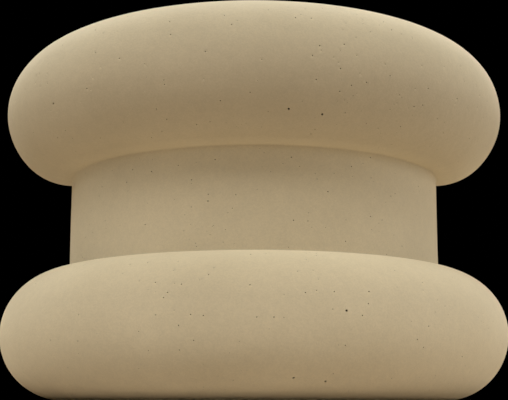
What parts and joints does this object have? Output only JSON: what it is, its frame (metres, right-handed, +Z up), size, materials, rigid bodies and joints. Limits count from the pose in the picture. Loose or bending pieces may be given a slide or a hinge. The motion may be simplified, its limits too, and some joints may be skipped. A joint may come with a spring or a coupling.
{
  "type": "cast stone column",
  "caption": "Short half-round cast stone column: a half-round roll at foot and head, a plain neck between them, a flat bed at each end and a flat back for a wall.",
  "frame": {"origin": "on the flat underside, midway between the front of the rolls and the flat back, and midway between the sides", "axes": "+Z up, parallel to the column's axis; +Y towards the flat back, which holds the axis; the round front faces -Y; X across the width"},
  "size_m": [0.508, 0.254, 0.35],
  "materials": {
    "cast_stone": "matte"
  },
  "bodies": {
    "root": {"column": "cast_stone"}
  },
  "joints": []
}
